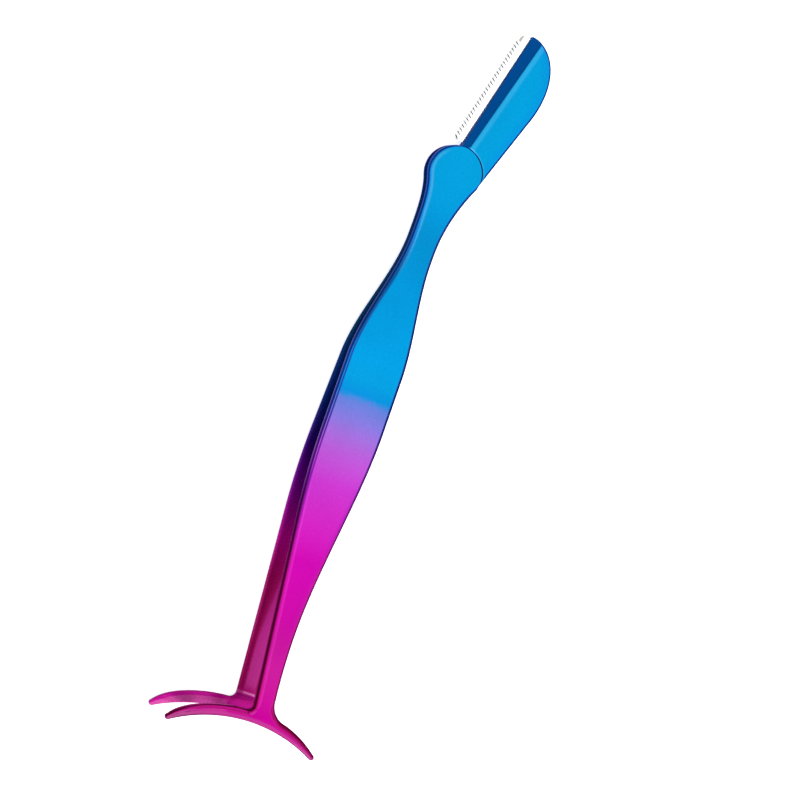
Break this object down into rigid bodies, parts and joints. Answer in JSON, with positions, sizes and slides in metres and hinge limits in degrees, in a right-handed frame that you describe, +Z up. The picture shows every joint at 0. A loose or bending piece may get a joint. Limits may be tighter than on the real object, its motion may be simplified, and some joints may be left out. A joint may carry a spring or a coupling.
{
  "type": "curved tweezers",
  "caption": "Sprung tweezers with wide crescent jaws for false lashes and a guarded eyebrow razor fixed at the other end, lying on the rear arm.",
  "frame": {"origin": "middle of the tool's box at the table that it lies on", "axes": "+X towards the razor along the tool's length, +Z up out of the front arm, so +Y is on the blade's side"},
  "size_m": [0.152, 0.0318, 0.0146],
  "materials": {
    "front_arm_coat": "satin metallic coat that runs from blue at the lobe through violet to magenta at the jaw",
    "rear_arm_coat": "satin metallic coat that runs from blue at the lobe through violet to magenta at the jaw",
    "holder_coat": "satin metallic blue coat",
    "blade_steel": "bright ground steel",
    "comb_steel": "bright thin sheet"
  },
  "bodies": {
    "razor": {"razor_holder": "holder_coat", "razor_blade": "blade_steel", "comb_guard": "comb_steel"},
    "front": {"front_arm": "front_arm_coat"},
    "rear": {"rear_arm": "rear_arm_coat"}
  },
  "joints": [
    {"name": "front_squeeze", "type": "hinge", "parent": "razor", "child": "front", "pos_m": [0.03382, -0.00209, 0.00321], "axis": [0, -1, 0], "range_deg": [0, 2.5], "stiffness_Nm_per_rad": 2},
    {"name": "rear_squeeze", "type": "hinge", "parent": "razor", "child": "rear", "pos_m": [0.03382, -0.00209, 0.00321], "axis": [0, 1, 0], "range_deg": [0, 2.5], "stiffness_Nm_per_rad": 2}
  ],
  "couplings": [
    {"joint": "rear_squeeze", "follows": "front_squeeze", "ratio": 1}
  ]
}
